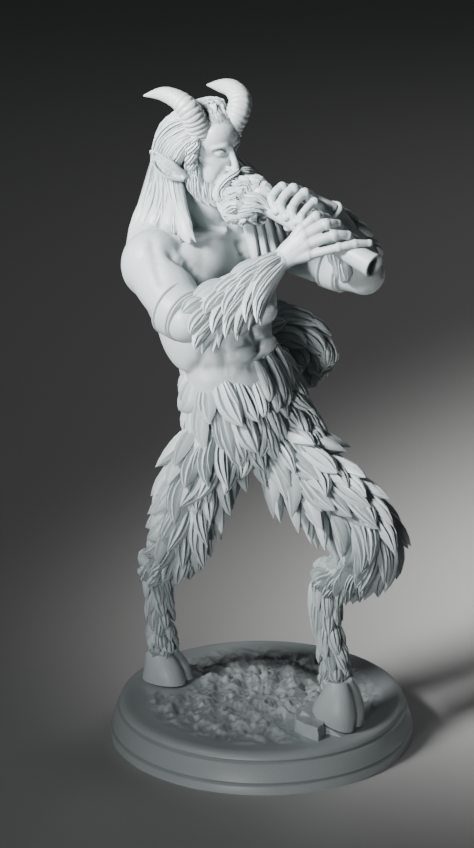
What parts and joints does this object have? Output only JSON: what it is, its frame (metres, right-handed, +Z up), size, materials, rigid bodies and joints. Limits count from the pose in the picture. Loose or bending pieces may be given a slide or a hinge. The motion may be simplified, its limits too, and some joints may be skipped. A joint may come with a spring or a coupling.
{
  "type": "satyr miniature",
  "caption": "Grey resin display miniature of a bearded, horned satyr striding and playing a long pipe, standing on a round stepped base",
  "frame": {"origin": "centre of the base's underside", "axes": "+Z up, -Y towards the side shown in the picture, +X to the right of it"},
  "size_m": [0.04, 0.04, 0.0885],
  "materials": {
    "base resin": "satin grey cast resin",
    "figure resin": "satin grey cast resin with a fine grain"
  },
  "bodies": {
    "root": {"base": "base resin", "satyr": "figure resin"}
  },
  "joints": []
}
